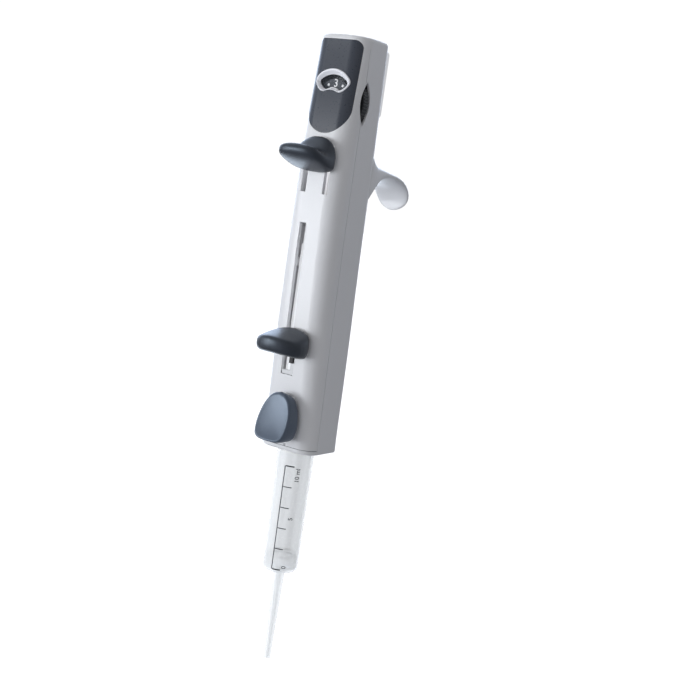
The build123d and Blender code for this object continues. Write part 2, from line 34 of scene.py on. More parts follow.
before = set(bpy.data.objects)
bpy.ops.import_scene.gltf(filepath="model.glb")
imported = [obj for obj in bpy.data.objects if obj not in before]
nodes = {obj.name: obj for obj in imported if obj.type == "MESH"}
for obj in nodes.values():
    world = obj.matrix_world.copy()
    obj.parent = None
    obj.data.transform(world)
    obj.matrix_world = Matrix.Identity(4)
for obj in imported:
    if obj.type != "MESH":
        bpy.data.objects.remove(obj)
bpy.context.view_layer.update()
scene = bpy.context.scene


# ---------------------------------------------------------------- materials

NOISE_ROUGHNESS = 0.55
NOISE_MIDDLE = (0.3, 0.7)
MOTTLE_SCALE, MOTTLE_DETAIL = 45.0, 3.0
GRAIN_DETAIL = 5.0
GLOSS_SPREAD = 0.12
PLASTIC_GRAIN_DEPTH = 0.00002
RUBBER_GRAIN_DEPTH = 0.00003


def new_material(name):
    """A node material, its tree, its shader linked to the output, and object coordinates."""
    mat = bpy.data.materials.new(name)
    mat.use_nodes = True
    tree = mat.node_tree
    tree.nodes.clear()
    out = tree.nodes.new("ShaderNodeOutputMaterial")
    shader = tree.nodes.new("ShaderNodeBsdfPrincipled")
    tree.links.new(shader.outputs["BSDF"], out.inputs["Surface"])
    coords = tree.nodes.new("ShaderNodeTexCoord")
    return mat, tree, shader, coords.outputs["Object"]


def noise(tree, coords, scale, detail):
    """A noise pattern; scale is in cycles per metre."""
    node = tree.nodes.new("ShaderNodeTexNoise")
    node.inputs["Scale"].default_value = scale
    node.inputs["Detail"].default_value = detail
    node.inputs["Roughness"].default_value = NOISE_ROUGHNESS
    tree.links.new(coords, node.inputs["Vector"])
    return node.outputs["Fac"]


def span(tree, value, low, high):
    """Map the middle of a noise onto the range low to high."""
    node = tree.nodes.new("ShaderNodeMapRange")
    node.inputs["From Min"].default_value = NOISE_MIDDLE[0]
    node.inputs["From Max"].default_value = NOISE_MIDDLE[1]
    node.inputs["To Min"].default_value = low
    node.inputs["To Max"].default_value = high
    tree.links.new(value, node.inputs["Value"])
    return node.outputs["Result"]


def two_tone(tree, value, colour, amount):
    """A colour that wanders a little darker and lighter with a noise."""
    ramp = tree.nodes.new("ShaderNodeValToRGB")
    tones = (1 - amount, 1 + amount)
    for stop, position, tone in zip(ramp.color_ramp.elements, NOISE_MIDDLE, tones):
        stop.position = position
        stop.color = (*(c * tone for c in colour), 1)
    tree.links.new(value, ramp.inputs["Fac"])
    return ramp.outputs["Color"]


def moulded(name, colour, rough, vary, grain, bump, depth=PLASTIC_GRAIN_DEPTH, **extra):
    """Plastic, rubber or metal: slight mottling, uneven gloss and a fine surface grain.

    vary is the mottling, grain the fineness of the surface in cycles per metre, bump and depth
    its strength and height, and extra holds the shader's other sockets by name. An Emission
    Strength among them makes the part glow in its own colour: painted light, not a lamp.
    """
    mat, tree, shader, coords = new_material(name)
    broad = noise(tree, coords, MOTTLE_SCALE, MOTTLE_DETAIL)
    fine = noise(tree, coords, grain, GRAIN_DETAIL)
    gloss = span(tree, fine, rough * (1 - GLOSS_SPREAD), rough * (1 + GLOSS_SPREAD))
    tree.links.new(two_tone(tree, broad, colour, vary), shader.inputs["Base Color"])
    tree.links.new(gloss, shader.inputs["Roughness"])
    relief = tree.nodes.new("ShaderNodeBump")
    relief.inputs["Strength"].default_value = bump
    relief.inputs["Distance"].default_value = depth
    tree.links.new(fine, relief.inputs["Height"])
    tree.links.new(relief.outputs["Normal"], shader.inputs["Normal"])
    # Emission colour is the part's own colour; where an Emission Strength is given, the glow is
    # painted light.
    shader.inputs["Emission Color"].default_value = (*colour, 1)
    for key, value in extra.items():
        shader.inputs[key.replace("_", " ")].default_value = value
    return mat


def rubber(name, colour, specular):
    """Soft slate rubber with a bluish sheen."""
    return moulded(
        name, colour, 0.40, 0.05, 1700.0, 0.22, RUBBER_GRAIN_DEPTH,
        Specular_IOR_Level=specular, Specular_Tint=(0.74, 0.86, 1.0, 1),
    )


def steel(name, colour, rough, vary):
    """Bare metal with a very fine grain."""
    return moulded(name, colour, rough, vary, 2500.0, 0.08, Metallic=1.0)


# name, colour, roughness, mottling, grain, bump, and the other sockets by name
WHITE = moulded("shell_white", (0.81, 0.815, 0.83), 0.34, 0.012, 1500.0, 0.10)
COLLAR = moulded("collar_white", (0.81, 0.815, 0.83), 0.34, 0.012, 1500.0, 0.10)
PANEL = moulded("panel_slate", (0.046, 0.054, 0.072), 0.30, 0.03, 1400.0, 0.015)
SILVER = moulded("bezel_silver", (0.92, 0.93, 0.97), 0.34, 0.02, 1500.0, 0.05)
# The label plate glows a little: painted light that keeps its shaded side as white as its lit face.
LABEL_WITH_PAINTED_GLOW = moulded(
    "label_white", (0.88, 0.89, 0.90), 0.22, 0.01, 1500.0, 0.04, Emission_Strength=0.30,
)
# The white print glows a little: painted light that brightens the dial's numbers and dots.
PRINT_WHITE_WITH_PAINTED_GLOW = moulded(
    "print_white_painted_glow", (0.95, 0.96, 0.97), 0.45, 0.02, 1500.0, 0.05, Emission_Strength=0.25,
)
PRINT_GREY = moulded("print_grey", (0.022, 0.024, 0.030), 0.5, 0.10, 1200.0, 0.05)
FRAME = moulded("frame_grey", (0.55, 0.56, 0.58), 0.5, 0.03, 1000.0, 0.15)
STEEL = steel("steel", (0.55, 0.56, 0.58), 0.3, 0.04)
SPRING = steel("spring_steel", (0.45, 0.46, 0.48), 0.28, 0.05)
# The rack glows: painted light that brightens it where it lies in shade down the handle's slots.
RACK_WITH_PAINTED_GLOW = moulded(
    "rack_grey", (0.72, 0.73, 0.75), 0.42, 0.04, 1200.0, 0.10, Emission_Strength=0.50,
)
INSERT = moulded("insert_white", (0.76, 0.77, 0.78), 0.5, 0.03, 1200.0, 0.10)
BLACK = moulded("buffer_black", (0.012, 0.012, 0.014), 0.55, 0.10, 1100.0, 0.20)
WHEEL = moulded("wheel_black", (0.014, 0.015, 0.018), 0.42, 0.10, 1100.0, 0.20)
GRIPPER = moulded("gripper_black", (0.020, 0.020, 0.023), 0.45, 0.08, 1100.0, 0.15)
# The stroke slide glows: painted light that brightens its legs, seen in shade through the handle's
# slots.
SLIDE_WITH_PAINTED_GLOW = moulded(
    "slide_grey", (0.78, 0.78, 0.80), 0.42, 0.03, 1200.0, 0.10, Emission_Strength=0.50,
)
# mask_grey is the step mask's own colour, and also colours the dark strip in the groove above the
# foot ring, which is painted shade.
MASK_AND_PAINTED_SHADE = moulded("mask_grey", (0.14, 0.15, 0.16), 0.5, 0.04, 1200.0, 0.10)
DIAL = moulded("dial_slate", (0.040, 0.046, 0.060), 0.55, 0.04, 1300.0, 0.08)
LEVER = rubber("lever_slate", (0.024, 0.027, 0.035), 0.75)
LOCK = rubber("lock_slate", (0.084, 0.106, 0.146), 1.0)
PISTON = moulded("piston_natural", (0.74, 0.76, 0.77), 0.4, 0.02, 1200.0, 0.08, Alpha=0.04)
SEAL = moulded("seal_natural", (0.76, 0.79, 0.80), 0.4, 0.02, 1200.0, 0.08, Alpha=0.08)
# The tip's barrel glows a little: painted light that keeps the milky barrel near white.
TIP_WITH_PAINTED_GLOW = moulded(
    "tip_clear", (0.86, 0.88, 0.89), 0.26, 0.01, 900.0, 0.05, Alpha=0.36, Emission_Strength=0.20,
)
LENS = moulded("lens_clear", (0.30, 0.33, 0.37), 0.05, 0.01, 700.0, 0.02, Alpha=0.06)

CAD_LOOKS = (
    (WHITE, ("front_shell", "rear_shell", "finger_hook")),
    (COLLAR, ("base_collar",)),
    (PANEL, ("display_panel",)),
    (SILVER, ("window_bezel",)),
    (LENS, ("window_lens",)),
    (LABEL_WITH_PAINTED_GLOW, ("label_plate",)),
    (FRAME, ("guide_frame",)),
    (STEEL, ("dial_axle", "detent_spring", "lock_pin", "tip_clip", "housing_screws")),
    (STEEL, ("jaw_left", "jaw_right", "pawl_pin", "pawl")),
    (SPRING, ("return_spring_left", "return_spring_right")),
    (INSERT, ("slot_insert",)),
    (BLACK, ("end_stop_buffer",)),
    (RACK_WITH_PAINTED_GLOW, ("rack_bar",)),
    (GRIPPER, ("piston_gripper", "lock_core")),
    (SLIDE_WITH_PAINTED_GLOW, ("stroke_slide",)),
    (DIAL, ("number_dial",)),
    (WHEEL, ("thumbwheel",)),
    (MASK_AND_PAINTED_SHADE, ("step_mask",)),
    (LEVER, ("stroke_lever", "filling_lever")),
    (LOCK, ("lock_lever",)),
    (TIP_WITH_PAINTED_GLOW, ("tip_barrel",)),
    (PISTON, ("tip_piston",)),
    (SEAL, ("piston_seal",)),
)
for look, node_names in CAD_LOOKS:
    for node_name in node_names:
        mesh = nodes[node_name].data
        mesh.materials.clear()
        mesh.materials.append(look)


# ---------------------------------------------------------------- mesh helpers


def add_piece(name, bm, look, body, slot, replaces=None, levels=0):
    """Turn a bmesh in millimetres into a piece that rides on a body."""
    bmesh.ops.scale(bm, vec=(MM, MM, MM), verts=bm.verts)
    bmesh.ops.recalc_face_normals(bm, faces=bm.faces)
    mesh = bpy.data.meshes.new(name)
    bm.to_mesh(mesh)
    bm.free()
    for poly in mesh.polygons:
        poly.use_smooth = True
    piece = bpy.data.objects.new(name, mesh)
    scene.collection.objects.link(piece)
    mesh.materials.append(look)
    if levels:
        smooth = piece.modifiers.new("smooth", "SUBSURF")
        smooth.levels = levels
        smooth.render_levels = levels
    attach(piece, body)
    if replaces:
        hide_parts(replaces)


def join_rings(bm, rings, endless=False):
    """Skin rings with equal counts of points, in turn; endless also joins the last to the first."""
    loops = [[bm.verts.new(p) for p in ring] for ring in rings]
    followers = loops[1:] + loops[:1] if endless else loops[1:]
    for near, far in zip(loops, followers):
        for i in range(len(near)):
            j = (i + 1) % len(near)
            bm.faces.new((near[i], near[j], far[j], far[i]))
    return loops


def closed_skin(bm, rings, first_pole, last_pole):
    """Skin rings of points and close each end with a point."""
    loops = join_rings(bm, rings)
    for pole, loop in ((first_pole, loops[0]), (last_pole, loops[-1])):
        tip = bm.verts.new(pole)
        for i in range(len(loop)):
            bm.faces.new((loop[i], loop[(i + 1) % len(loop)], tip))


def blend_table(table, key):
    """The values at key, on straight lines between (key, value, ...) rows."""
    if key <= table[0][0]:
        return table[0][1:]
    for low, high in zip(table, table[1:]):
        if key <= high[0]:
            t = (key - low[0]) / (high[0] - low[0])
            return tuple(a + (b - a) * t for a, b in zip(low[1:], high[1:]))
    return table[-1][1:]


def signed_power(value, power):
    """The power of a value's size, with the value's sign."""
    return math.copysign(abs(value) ** power, value)


def outline_point(outline, centre, angle):
    """A point round a symmetric outline of (position, half width) rows, seen from its centre."""
    s = math.sin(angle)
    reach = outline[-1][0] - centre if s > 0 else centre - outline[0][0]
    position = centre + reach * s
    (half,) = blend_table(outline, position)
    return math.copysign(half, math.cos(angle)), position


def turn_steps(count, offset=0.0):
    """Equal steps round a full turn."""
    return [2 * math.pi * (i + offset) / count for i in range(count)]


# ---------------------------------------------------------------- stroke lever

STROKE_SLICES = (
    # y, half width, underside, widest height, crown, roundness of the top, of the underside
    (-15.45, 10.4, 130.6, 137.0, 147.1, 0.42, 0.38),
    (-17.0, 10.9, 130.5, 136.6, 146.8, 0.45, 0.38),
    (-19.2, 11.2, 130.8, 136.2, 145.2, 0.52, 0.40),
    (-21.5, 11.4, 131.3, 136.2, 142.4, 0.52, 0.42),
    (-24.0, 11.5, 132.1, 136.6, 140.9, 0.50, 0.45),
    (-26.5, 11.5, 133.0, 137.2, 141.0, 0.46, 0.50),
    (-29.0, 11.3, 134.0, 137.8, 141.6, 0.42, 0.52),
    (-31.2, 10.7, 135.1, 138.3, 142.1, 0.38, 0.56),
    (-33.0, 9.4, 136.3, 138.8, 142.1, 0.38, 0.60),
    (-34.4, 6.8, 137.6, 139.4, 141.5, 0.42, 0.65),
)
STROKE_BACK_POLE = (0, -15.45, 138.5)
STROKE_FRONT_POLE = (0, -35.0, 139.5)
STROKE_POINTS = 40
STROKE_SIDE_POWER = 0.9


def stroke_slice(y, half, low, rim, crown, over, under):
    """One slice across the lever: an arch on a flatter underside."""
    ring = []
    for t in turn_steps(STROKE_POINTS):
        s = math.sin(t)
        if s >= 0:
            z = rim + (crown - rim) * s ** (2 * over)
        else:
            z = rim - (rim - low) * (-s) ** under
        ring.append((half * signed_power(math.cos(t), STROKE_SIDE_POWER), y, z))
    return ring


def stroke_lever():
    """The upper lever: a dome at the handle, a saddle for the thumb and a raised lip."""
    bm = bmesh.new()
    rings = [stroke_slice(*row) for row in STROKE_SLICES]
    closed_skin(bm, rings, STROKE_BACK_POLE, STROKE_FRONT_POLE)
    add_piece("stroke_lever_pad", bm, LEVER, "stroke", "lever_slate", "stroke_lever", levels=2)


stroke_lever()


# ---------------------------------------------------------------- filling lever

WING_PROFILE = (
    # size of the ring, height from underside (0) to top (1)
    (0.35, 0.00), (0.70, 0.00), (0.86, 0.02), (0.945, 0.12), (0.99, 0.34), (1.00, 0.58),
    (0.99, 0.80), (0.95, 0.945), (0.88, 1.00), (0.70, 0.995), (0.35, 0.985),
)
WING_LEVELS = (
    # y, underside, top
    (-33.0, 47.6, 54.4), (-27.0, 46.2, 55.6), (-22.0, 45.2, 56.9), (-15.5, 44.4, 58.2),
    (-13.0, 44.2, 58.4),
)
WING_PLAN = (
    # y, half width: widest towards the front
    (-33.2, 0.0), (-32.9, 3.4), (-32.0, 6.6), (-30.4, 9.2), (-28.0, 11.3), (-25.2, 12.2),
    (-22.0, 12.1), (-19.0, 11.5), (-16.5, 10.6), (-15.45, 9.9), (-14.6, 0.0),
)
WING_CENTRE_Y = -23.0
WING_BACK_Y = -15.45
WING_HALF_WIDTH = 12.2
WING_TIP_DROP, WING_DROP_POWER = 3.4, 2.2
WING_TOP_POLE = 0.98
WING_POINTS = 44


def wing_point(x, y, height):
    """A point of the wing: its top sinks towards its ends, and its back is cut flat."""
    low, top = blend_table(WING_LEVELS, y)
    drop = WING_TIP_DROP * (abs(x) / WING_HALF_WIDTH) ** WING_DROP_POWER
    return x, min(y, WING_BACK_Y), low + (top - drop - low) * height


def filling_lever():
    """The middle lever, wing-shaped, with a soft crease round its top."""
    bm = bmesh.new()
    rings = []
    for size, height in WING_PROFILE:
        ring = []
        for t in turn_steps(WING_POINTS, 0.5):
            x, y = outline_point(WING_PLAN, WING_CENTRE_Y, t)
            ring.append(wing_point(x * size, WING_CENTRE_Y + (y - WING_CENTRE_Y) * size, height))
        rings.append(ring)
    poles = [wing_point(0, WING_CENTRE_Y, height) for height in (0.0, WING_TOP_POLE)]
    closed_skin(bm, rings, *poles)
    add_piece("filling_lever_wing", bm, LEVER, "filling", "lever_slate", "filling_lever", levels=2)


filling_lever()


# ---------------------------------------------------------------- lock lever

LOCK_OUTLINE = (
    # z, half width
    (4.3, 0.0), (4.45, 4.6), (5.2, 7.0), (6.6, 8.3), (8.6, 8.9), (10.8, 9.3), (13.5, 9.4),
    (17.0, 9.0), (20.0, 8.3), (23.0, 7.1), (25.4, 5.5), (26.9, 3.5), (27.7, 0.0),
)
LOCK_BACK = (
    # z, y of the back, rounded off above the pin to clear the handle as it turns
    (4.0, -14.0), (23.0, -14.0), (24.6, -13.95), (25.6, -14.4), (26.3, -15.2), (26.8, -16.4),
    (27.6, -17.2),
)
LOCK_RINGS = (
    # size, how far from the back (0) to the face (1), how deep the dish is there
    (0.60, 0.00, 0.0), (0.93, 0.00, 0.0), (1.00, 0.12, 0.0), (1.01, 0.50, 0.0),
    (0.995, 0.80, 0.0), (0.955, 0.95, 0.0), (0.90, 1.00, 0.0), (0.82, 1.00, 0.14),
    (0.72, 1.00, 0.28), (0.60, 1.00, 0.40), (0.46, 1.00, 0.50), (0.32, 1.00, 0.57),
    (0.18, 1.00, 0.61),
)
LOCK_MIDDLE_Z = 16.0
LOCK_CENTRE_Z = 14.5
LOCK_FACE_TOP = (-19.5, 27.7)
LOCK_FACE_DROP = 23.5
LOCK_FACE_SLOPE, LOCK_FACE_FLARE = 5.4, 1.4
LOCK_DISH = 0.63
LOCK_POINTS = 44


def lock_point(x, z, deep, dish):
    """A point of the lever between its back and a face that leans out towards the bottom."""
    top_y, top_z = LOCK_FACE_TOP
    down = (top_z - z) / LOCK_FACE_DROP
    face = top_y - LOCK_FACE_SLOPE * down - LOCK_FACE_FLARE * down**3
    (back,) = blend_table(LOCK_BACK, z)
    return x, back + (face - back) * deep + dish, z


def lock_lever():
    """The egg-shaped bottom lever: a dished face, rounded sides and a lip that flares out."""
    bm = bmesh.new()
    rings = []
    for size, deep, dish in LOCK_RINGS:
        ring = []
        for t in turn_steps(LOCK_POINTS, 0.5):
            x, z = outline_point(LOCK_OUTLINE, LOCK_MIDDLE_Z, t)
            z = LOCK_CENTRE_Z + (z - LOCK_CENTRE_Z) * min(size, 1.0)
            ring.append(lock_point(x * size, z, deep, dish))
        rings.append(ring)
    back_pole = lock_point(0, LOCK_CENTRE_Z, 0.0, 0.0)
    face_pole = lock_point(0, LOCK_CENTRE_Z, 1.0, LOCK_DISH)
    closed_skin(bm, rings, back_pole, face_pole)
    add_piece("lock_lever_pad", bm, LOCK, "lock", "lock_slate", "lock_lever", levels=2)


lock_lever()


# ---------------------------------------------------------------- window bezel

# half width, top, foot of the lobes, top of the notch between them
PANEL_OPENING = (9.6, 178.0, 167.0, 168.75)
BEZEL_OUTER = (10.2, 178.2, 166.65, 168.5)
BEZEL_OPENING = (8.1, 175.5, 168.2, 169.3)
BEZEL_RINGS = (
    # from the outer outline (0) to the opening (1), depth below the handle's surface
    (0.02, 0.90), (0.01, 0.15), (0.03, -0.22), (0.10, -0.36), (0.26, -0.38), (0.38, -0.28),
    (0.48, -0.05), (0.70, 0.50), (0.95, 1.02), (1.00, 1.12), (0.96, 1.19), (0.80, 1.19),
    (0.30, 1.10),
)
BEZEL_ROUNDING = 4
GASKET_RINGS = ((0.0, 0.06), (0.16, 0.06), (0.16, 0.50), (0.0, 0.50))
GASKET_ROUNDING = 0
LOBE_PLACE, FLANK_BULGE, FLANK_HEIGHT = 0.45, 0.83, 0.52
ARCH_POINTS, FLANK_POINTS, NOTCH_POINTS = 26, 8, 12

# z, y of the handle's front
HANDLE_FRONT = ((150.0, -14.0), (170.0, -12.4), (194.3, -10.9))
HANDLE_FLAT_HALF = 6.0
HANDLE_CORNER = 7.8


def arc_through(start, middle, end, count):
    """Points on the arc from start through middle, stopping short of end."""
    (ax, az), (bx, bz), (cx, cz) = start, middle, end
    d = 2 * (ax * (bz - cz) + bx * (cz - az) + cx * (az - bz))
    a2, b2, c2 = ax * ax + az * az, bx * bx + bz * bz, cx * cx + cz * cz
    ux = (a2 * (bz - cz) + b2 * (cz - az) + c2 * (az - bz)) / d
    uz = (a2 * (cx - bx) + b2 * (ax - cx) + c2 * (bx - ax)) / d
    radius = math.hypot(ax - ux, az - uz)
    first = math.atan2(az - uz, ax - ux)
    to_middle = (math.atan2(bz - uz, bx - ux) - first) % (2 * math.pi)
    to_end = (math.atan2(cz - uz, cx - ux) - first) % (2 * math.pi)
    if to_middle > to_end:
        to_end -= 2 * math.pi
    angles = [first + to_end * i / count for i in range(count)]
    return [(ux + radius * math.cos(t), uz + radius * math.sin(t)) for t in angles]


def fan_ring(half, top, low, notch):
    """The window's outline: an arched top, leaning flanks and a notched lower edge."""
    mid = (top + low) / 2
    flank = low + FLANK_HEIGHT * (mid - low)
    lobe, bulge = half * LOBE_PLACE, half * FLANK_BULGE
    ring = arc_through((-half, mid), (0, top), (half, mid), ARCH_POINTS)
    ring += arc_through((half, mid), (bulge, flank), (lobe, low), FLANK_POINTS)
    ring += arc_through((lobe, low), (0, notch), (-lobe, low), NOTCH_POINTS)
    return ring + arc_through((-lobe, low), (-bulge, flank), (-half, mid), FLANK_POINTS)


def rounded(ring):
    """A ring of points with each one moved to the middle of itself and its two neighbours."""
    befores, afters = ring[-1:] + ring[:-1], ring[1:] + ring[:1]
    return [
        ((a[0] + b[0] + c[0]) / 3, (a[1] + b[1] + c[1]) / 3)
        for a, b, c in zip(befores, ring, afters)
    ]


def handle_front(x, z):
    """The y of the handle's front surface near the window, with its rounded corners."""
    (flat,) = blend_table(HANDLE_FRONT, z)
    beyond = max(0.0, abs(x) - HANDLE_FLAT_HALF)
    return flat + HANDLE_CORNER - math.sqrt(HANDLE_CORNER**2 - beyond**2)


def window_ring(name, outline, rings, rounding, look, slot, **more):
    """A closed ring round the window, its corners softened by some passes of rounding."""
    bm = bmesh.new()
    skin = []
    for inward, depth in rings:
        ring = fan_ring(*(a + (b - a) * inward for a, b in zip(outline, BEZEL_OPENING)))
        for _ in range(rounding):
            ring = rounded(ring)
        skin.append([(x, handle_front(x, z) + depth, z) for x, z in ring])
    join_rings(bm, skin, endless=True)
    add_piece(name, bm, look, "housing", slot, **more)


window_ring(
    "window_bezel_ring", BEZEL_OUTER, BEZEL_RINGS, BEZEL_ROUNDING, SILVER, "bezel_silver",
    replaces="window_bezel", levels=1,
)
window_ring(
    "window_gasket", PANEL_OPENING, GASKET_RINGS, GASKET_ROUNDING, PANEL, "panel_slate",
)


# ---------------------------------------------------------------- painted shade line above the foot ring

FOOT_HALF, FOOT_FRONT_Y = 15.65, -11.8
FOOT_LINE_END_Y = -5.2
FOOT_LINE_SECTION = (
    # depth below the handle's surface, z
    (0.10, 1.28), (0.10, 1.42), (0.28, 1.42), (0.28, 1.28),
)
FOOT_LINE_STEPS = 16


def foot_line():
    """A dark grey strip in the groove above the foot ring, round the front from side to side:
    painted shade of the groove.
    """
    bm = bmesh.new()
    middle_y = FOOT_FRONT_Y + HANDLE_CORNER
    first = math.asin((FOOT_LINE_END_Y - middle_y) / HANDLE_CORNER)
    sweep = -math.pi / 2 - first
    arc = [first + sweep * i / FOOT_LINE_STEPS for i in range(FOOT_LINE_STEPS + 1)]
    rings = []
    for side, turns in ((1, arc), (-1, arc[::-1])):
        for turn in turns:
            ring = []
            for inset, z in FOOT_LINE_SECTION:
                reach = HANDLE_CORNER - inset
                x = side * (FOOT_HALF - HANDLE_CORNER + reach * math.cos(turn))
                ring.append((x, middle_y + reach * math.sin(turn), z))
            rings.append(ring)
    loops = join_rings(bm, rings)
    bm.faces.new(loops[0])
    bm.faces.new(loops[-1])
    add_piece("foot_painted_shade_line", bm, MASK_AND_PAINTED_SHADE, "housing", "mask_grey")


foot_line()


# ---------------------------------------------------------------- finger hook

HOOK_SECTIONS = (
    # middle of the section (y, z), half width, half thickness, flatness of its sides
    (8.5, 131.2, 13.75, 15.0, 5.0), (11.0, 131.0, 13.75, 13.6, 5.0),
    (13.2, 131.6, 13.7, 10.6, 4.6), (15.8, 132.0, 13.5, 7.6, 4.0),
    (19.0, 133.1, 13.1, 5.1, 3.4), (23.0, 133.8, 12.6, 3.5, 3.0),
    (28.0, 133.9, 12.1, 2.4, 2.7), (33.0, 133.6, 11.6, 1.95, 2.6),
    (38.0, 133.0, 11.2, 1.85, 2.6), (42.5, 132.0, 10.9, 1.85, 2.6),
    (46.5, 130.4, 10.6, 1.8, 2.6), (49.9, 128.1, 10.3, 1.75, 2.6),
    (52.3, 125.4, 9.9, 1.65, 2.6), (53.5, 122.8, 9.1, 1.5, 2.5),
    (53.9, 120.6, 7.7, 1.35, 2.4), (53.9, 118.8, 5.6, 1.1, 2.3),
    (53.7, 117.6, 3.0, 0.8, 2.2),
)
HOOK_END_POLE = Vector((0, 53.5, 117.1))
HOOK_POINTS = 40
HOOK_UPRIGHT_UNTIL, HOOK_TURN_OVER = 10.0, 12.0
HOOK_DISH = 0.9
HOOK_DISH_FROM, HOOK_DISH_RISE, HOOK_DISH_FALL = 9, 3.0, 4


def hook_thickness_way(k, middles):
    """The way a section's thickness runs: upright at the root, then square to the arch."""
    before = middles[max(0, k - 1)]
    after = middles[min(len(middles) - 1, k + 1)]
    along = (after - before).normalized()
    out = Vector((0, -along.z, along.y))
    lean = min(1.0, max(0.0, (HOOK_SECTIONS[k][0] - HOOK_UPRIGHT_UNTIL) / HOOK_TURN_OVER))
    return out.lerp(Vector((0, 0, 1)), 1 - lean).normalized()


def finger_hook():
    """The finger hook: flush with the handle at its root, then a thin arch and a dished end."""
    bm = bmesh.new()
    rings = []
    middles = [Vector((0, y, z)) for y, z, *_ in HOOK_SECTIONS]
    for k, (_, _, half, thick, flat) in enumerate(HOOK_SECTIONS):
        out = hook_thickness_way(k, middles)
        rise = min(1.0, max(0.0, (k - HOOK_DISH_FROM) / HOOK_DISH_RISE))
        fall = min(1.0, (len(HOOK_SECTIONS) - k) / HOOK_DISH_FALL)
        ring = []
        for t in turn_steps(HOOK_POINTS):
            x = half * signed_power(math.cos(t), 2 / flat)
            h = thick * signed_power(math.sin(t), 2 / flat)
            h += HOOK_DISH * rise * fall * (1 - (x / half) ** 2)
            ring.append(middles[k] + Vector((x, 0, 0)) + out * h)
        rings.append(ring)
    closed_skin(bm, rings, middles[0], HOOK_END_POLE)
    add_piece("finger_hook_arch", bm, WHITE, "housing", "shell_white", "finger_hook", levels=2)


finger_hook()


# ---------------------------------------------------------------- printed marks

GLYPH_RESOLUTION = 4


def glyphs(text, height, weight):
    """The points and faces of some flat characters, centred, at a height; weight thickens them."""
    curve = bpy.data.curves.new("glyphs", "FONT")
    curve.body = text
    curve.align_x = "CENTER"
    curve.resolution_u = GLYPH_RESOLUTION
    curve.offset = weight
    holder = bpy.data.objects.new("glyphs", curve)
    scene.collection.objects.link(holder)
    bpy.context.view_layer.update()
    shown_holder = holder.evaluated_get(bpy.context.evaluated_depsgraph_get())
    mesh = bpy.data.meshes.new_from_object(shown_holder)
    bpy.data.objects.remove(holder)
    xs = [v.co.x for v in mesh.vertices]
    ys = [v.co.y for v in mesh.vertices]
    tall = max(ys) - min(ys)
    mid_x, mid_y = (max(xs) + min(xs)) / 2, (max(ys) + min(ys)) / 2
    points = [((x - mid_x) * height / tall, (y - mid_y) * height / tall) for x, y in zip(xs, ys)]
    faces = [tuple(p.vertices) for p in mesh.polygons]
    bpy.data.meshes.remove(mesh)
    return points, faces


def thick_shape(bm, points, faces, place, thick):
    """Lay a flat shape on a surface: place(x, y, height) gives a point, thick the ink's height."""
    low = [bm.verts.new(place(x, y, 0.0)) for x, y in points]
    high = [bm.verts.new(place(x, y, thick)) for x, y in points]
    for face in faces:
        bm.faces.new([high[i] for i in face])
        bm.faces.new([low[i] for i in reversed(face)])
    edges = dict.fromkeys(edge for face in faces for edge in zip(face, face[1:] + face[:1]))
    for a, b in edges:
        if (b, a) not in edges:
            bm.faces.new((low[a], low[b], high[b], high[a]))


DIAL_Z = 164.0
DIAL_FACE_Y = -9.2
NUMBER_RADIUS = 7.85
NUMBER_STEP = math.radians(60)
NUMBER_HEIGHT, NUMBER_WEIGHT, NUMBER_SQUEEZE = 3.8, 0.012, 0.92
DOT_RADIUS, DOT_POINTS = 0.62, 20
DIAL_INK_LIFT, DIAL_INK = 0.01, 0.06


def dot_shape():
    """The points and face of a round dot."""
    points = [(DOT_RADIUS * math.cos(t), DOT_RADIUS * math.sin(t)) for t in turn_steps(DOT_POINTS)]
    return points, [tuple(range(DOT_POINTS))]


def on_dial(turn):
    """A place on the disc's face, turned clockwise from its top."""
    c, s = math.cos(turn), math.sin(turn)

    def place(x, y, height):
        up = y + NUMBER_RADIUS
        return x * c + up * s, DIAL_FACE_Y - DIAL_INK_LIFT - height, DIAL_Z + up * c - x * s

    return place


def dial_numbers():
    """The numbers 1 to 5, with 3 at the top, and the half-step dots."""
    bm = bmesh.new()
    for number in range(1, 6):
        points, faces = glyphs(str(number), NUMBER_HEIGHT, NUMBER_WEIGHT)
        points = [(x * NUMBER_SQUEEZE, y) for x, y in points]
        thick_shape(bm, points, faces, on_dial(NUMBER_STEP * (number - 3)), DIAL_INK)
    for dot in range(5):
        points, faces = dot_shape()
        thick_shape(bm, points, faces, on_dial(NUMBER_STEP * (dot - 1.5)), DIAL_INK)
    # The numbers and dots are printed in a white that glows: painted light.
    add_piece("dial_numbers", bm, PRINT_WHITE_WITH_PAINTED_GLOW, "dial", "label_white")


dial_numbers()

# z, outside radius of the tip's barrel
BARREL_RADIUS = ((-60.4, 8.55), (2.4, 9.21))
SCALE_LINE_ANGLE = 0.148
SCALE_ARC_RADIUS = 9.0
SCALE_TOP, SCALE_FOOT = -8.5, -59.8
SCALE_STEPS = 5
SCALE_LINE_HALF = 0.22
TICK_FROM, TICK_TO = 0.3, 4.5
TICK_HALF, END_TICK_HALF = 0.2, 0.3
BAR_STEP_ACROSS, BAR_STEP_UP = 0.5, 4.0
SCALE_TEXTS = (
    # text, place along the arc, z
    ("10 ml", 6.4, -12.4), ("0", 6.0, -58.4), ("5", 6.0, -34.2),
)
SCALE_TEXT_HEIGHT, SCALE_TEXT_WEIGHT = 2.2, 0.004
SCALE_INK_LIFT, SCALE_INK = 0.015, 0.04


def on_barrel(arc, z, height):
    """A point on the barrel, by the length along its arc from the scale's line."""
    (radius,) = blend_table(BARREL_RADIUS, z)
    radius += SCALE_INK_LIFT + height
    angle = SCALE_LINE_ANGLE + arc / SCALE_ARC_RADIUS
    return radius * math.sin(angle), -radius * math.cos(angle), z


